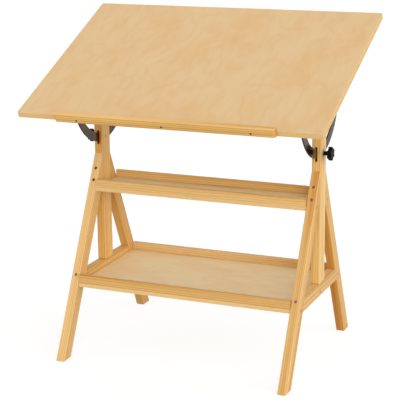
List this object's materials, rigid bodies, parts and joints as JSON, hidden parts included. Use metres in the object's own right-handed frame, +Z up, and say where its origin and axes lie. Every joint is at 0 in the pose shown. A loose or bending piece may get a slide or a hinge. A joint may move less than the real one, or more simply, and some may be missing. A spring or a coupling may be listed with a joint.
{
  "type": "drafting table",
  "caption": "Drafting table with a tilting plywood board on wooden A-frames, a pencil ledge, two tray shelves, steel quadrants and clamp knobs.",
  "frame": {"origin": "Centre of the footprint at floor level: midway between the A-frames, and midway between the pencil ledge's front and the back feet.", "axes": "+X is the sitter's right, +Y points away from the sitter towards the raised back edge, +Z is up."},
  "size_m": [0.914, 0.6094, 0.9952],
  "materials": {
    "plywood_face": "clear-lacquered plywood with a faintly swirled rotary-cut veneer, satin",
    "solid_wood": "clear-lacquered straight-grained light wood, satin",
    "dark_bolt": "dark plated steel screws and socket bolts, satin",
    "zinc_steel": "zinc-plated steel, satin",
    "black_steel": "flat steel in smooth black paint, glossy",
    "black_plastic": "black moulded plastic, slightly glossy"
  },
  "bodies": {
    "frame": {"front_leg_left": "solid_wood", "leg_bolt_front_left_upper": "dark_bolt", "leg_bolt_front_left_middle": "dark_bolt", "leg_bolt_front_left_rail": "dark_bolt", "back_leg_left": "solid_wood", "leg_bolt_back_left_upper": "dark_bolt", "leg_bolt_back_left_middle": "dark_bolt", "leg_bolt_back_left_rail": "dark_bolt", "post_left": "solid_wood", "side_rail_left": "solid_wood", "panel_screw_left_upper_front": "zinc_steel", "panel_screw_left_upper_back": "zinc_steel", "panel_screw_left_lower_front": "zinc_steel", "panel_screw_left_lower_middle": "zinc_steel", "panel_screw_left_lower_back": "zinc_steel", "pivot_bolt_left": "zinc_steel", "pivot_spacer_left": "zinc_steel", "pivot_nut_left": "zinc_steel", "clamp_insert_left": "zinc_steel", "front_leg_right": "solid_wood", "leg_bolt_front_right_upper": "dark_bolt", "leg_bolt_front_right_middle": "dark_bolt", "leg_bolt_front_right_rail": "dark_bolt", "back_leg_right": "solid_wood", "leg_bolt_back_right_upper": "dark_bolt", "leg_bolt_back_right_middle": "dark_bolt", "leg_bolt_back_right_rail": "dark_bolt", "post_right": "solid_wood", "side_rail_right": "solid_wood", "panel_screw_right_upper_front": "zinc_steel", "panel_screw_right_upper_back": "zinc_steel", "panel_screw_right_lower_front": "zinc_steel", "panel_screw_right_lower_middle": "zinc_steel", "panel_screw_right_lower_back": "zinc_steel", "pivot_bolt_right": "zinc_steel", "pivot_spacer_right": "zinc_steel", "pivot_nut_right": "zinc_steel", "clamp_insert_right": "zinc_steel", "upper_shelf_panel": "plywood_face", "upper_shelf_front_board": "solid_wood", "upper_shelf_back_board": "solid_wood", "lower_shelf_panel": "plywood_face", "lower_shelf_front_board": "solid_wood", "lower_shelf_back_board": "solid_wood"},
    "top": {"tabletop": "plywood_face", "pencil_ledge": "solid_wood", "bearer_left": "solid_wood", "quadrant_left": "black_steel", "bearer_right": "solid_wood", "quadrant_right": "black_steel", "ledge_screw_left": "dark_bolt", "ledge_screw_middle": "dark_bolt", "ledge_screw_right": "dark_bolt"},
    "clamp_left_washer": {"clamp_washer_left": "zinc_steel"},
    "clamp_left_knob": {"clamp_knob_left": "black_plastic", "clamp_screw_left": "zinc_steel"},
    "clamp_right_washer": {"clamp_washer_right": "zinc_steel"},
    "clamp_right_knob": {"clamp_knob_right": "black_plastic", "clamp_screw_right": "zinc_steel"}
  },
  "joints": [
    {"name": "top_tilt", "type": "hinge", "parent": "frame", "child": "top", "pos_m": [0, 0.02249, 0.786], "axis": [1, 0, 0], "range_deg": [-24.6, 35.4]},
    {"name": "clamp_left_slide", "type": "slide", "parent": "frame", "child": "clamp_left_washer", "axis": [-1, 0, 0], "range_m": [0, 0.003]},
    {"name": "clamp_left_turn", "type": "hinge", "parent": "clamp_left_washer", "child": "clamp_left_knob", "pos_m": [-0.38, 0.02249, 0.6205], "axis": [-1, 0, 0], "range_deg": [0, 1080]},
    {"name": "clamp_right_slide", "type": "slide", "parent": "frame", "child": "clamp_right_washer", "axis": [1, 0, 0], "range_m": [0, 0.003]},
    {"name": "clamp_right_turn", "type": "hinge", "parent": "clamp_right_washer", "child": "clamp_right_knob", "pos_m": [0.38, 0.02249, 0.6205], "axis": [1, 0, 0], "range_deg": [0, 1080]}
  ],
  "couplings": [
    {"joint": "clamp_left_slide", "follows": "clamp_left_turn", "m_per_rad": 0.000159},
    {"joint": "clamp_right_slide", "follows": "clamp_right_turn", "m_per_rad": 0.000159}
  ]
}
